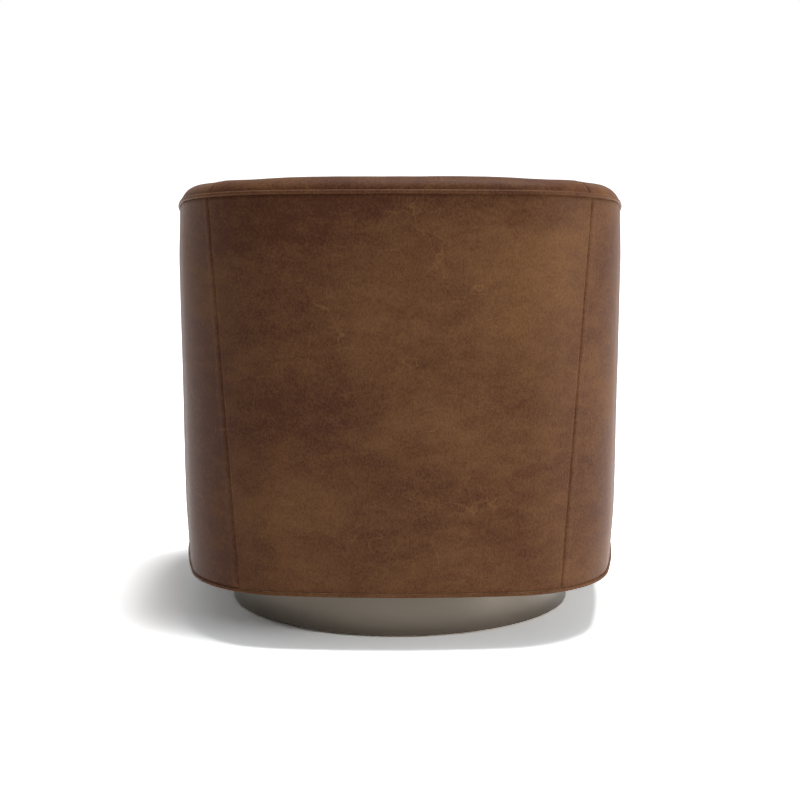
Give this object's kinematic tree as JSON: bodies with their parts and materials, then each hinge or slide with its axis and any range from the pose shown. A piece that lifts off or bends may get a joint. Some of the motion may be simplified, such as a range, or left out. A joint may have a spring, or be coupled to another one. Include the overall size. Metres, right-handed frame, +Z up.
{
  "type": "swivel barrel chair",
  "caption": "Upholstered leather barrel chair with a square-rounded tub, welted padded rim and loose seat cushion, turning on a recessed round metal plinth.",
  "frame": {"origin": "on the floor under the swivel axis, in the middle of the chair's footprint", "axes": "+Z up along the swivel axis; the chair faces -Y, its back is towards +Y; +X is the sitter's left"},
  "size_m": [0.7837, 0.7835, 0.7604],
  "materials": {
    "leather": "distressed brown pull-up leather, semi-matt with soft lighter rubs",
    "welt_leather": "the same leather, drawn over cord",
    "plinth_metal": "warm grey brushed sheet metal",
    "plywood": "sawn birch plywood",
    "hardwood": "planed hardwood",
    "plate_steel": "black pressed steel",
    "ball_steel": "polished bearing steel",
    "fasteners": "zinc-plated steel",
    "spring_steel": "bare spring wire",
    "foam": "cut upholstery foam",
    "wadding_fibre": "white polyester wadding",
    "lining_cloth": "black woven lining cloth",
    "nylon": "moulded nylon"
  },
  "bodies": {
    "base": {"base_skirt": "plinth_metal", "base_top_disc": "plywood", "base_lower_disc": "plywood", "base_blocks": "hardwood", "base_screws": "fasteners", "floor_glides": "nylon", "glide_nails": "fasteners", "swivel_lower_plate": "plate_steel", "swivel_base_bolts": "fasteners", "swivel_base_nuts": "fasteners", "swivel_pivot_bolt": "fasteners", "swivel_pivot_nut": "fasteners", "swivel_pivot_washer": "nylon"},
    "bearing_ring": {"bearing_cage": "plate_steel", "bearing_balls": "ball_steel"},
    "seat_body": {"arm_linings": "plywood", "back_posts": "hardwood", "back_seat_rib": "plywood", "back_webbing": "lining_cloth", "bottom_rib": "plywood", "bottom_welt": "welt_leather", "corner_posts": "hardwood", "deck_cloth": "lining_cloth", "deck_cover": "lining_cloth", "deck_foam": "foam", "dust_cover": "lining_cloth", "dust_cover_staples": "fasteners", "front_panel_board": "plywood", "front_panel_cover": "leather", "front_panel_wadding": "wadding_fibre", "front_panel_welt": "welt_leather", "front_posts": "hardwood", "front_seat_rib": "plywood", "inner_arm_cover_left": "leather", "inner_arm_cover_right": "leather", "inner_arm_foam_left": "foam", "inner_arm_foam_right": "foam", "inner_back_cover": "leather", "inner_back_foam": "foam", "outer_back_cover": "leather", "outer_board": "plywood", "outer_side_cover_left": "leather", "outer_side_cover_right": "leather", "outer_wadding": "wadding_fibre", "rim_rib": "plywood", "seat_springs": "spring_steel", "side_posts": "hardwood", "side_seat_ribs": "plywood", "spring_clips": "fasteners", "swivel_rails": "hardwood", "swivel_seat_bolts": "fasteners", "swivel_seat_nuts": "fasteners", "swivel_upper_plate": "plate_steel", "top_welt": "welt_leather"},
    "seat_cushion": {"cushion_cover": "leather", "cushion_wrap": "wadding_fibre", "cushion_core": "foam", "cushion_welts": "welt_leather"}
  },
  "joints": [
    {"name": "seat_swivel", "type": "hinge", "parent": "base", "child": "seat_body", "pos_m": [0, 0, 0.078], "axis": [0, 0, 1], "continuous": true},
    {"name": "bearing_spin", "type": "hinge", "parent": "base", "child": "bearing_ring", "pos_m": [0, 0, 0.078], "axis": [0, 0, 1], "continuous": true},
    {"name": "cushion_lift", "type": "slide", "parent": "seat_body", "child": "seat_cushion", "axis": [0, 0, 1], "range_m": [0, 0.42]}
  ],
  "couplings": [
    {"joint": "bearing_spin", "follows": "seat_swivel", "ratio": 0.5}
  ]
}
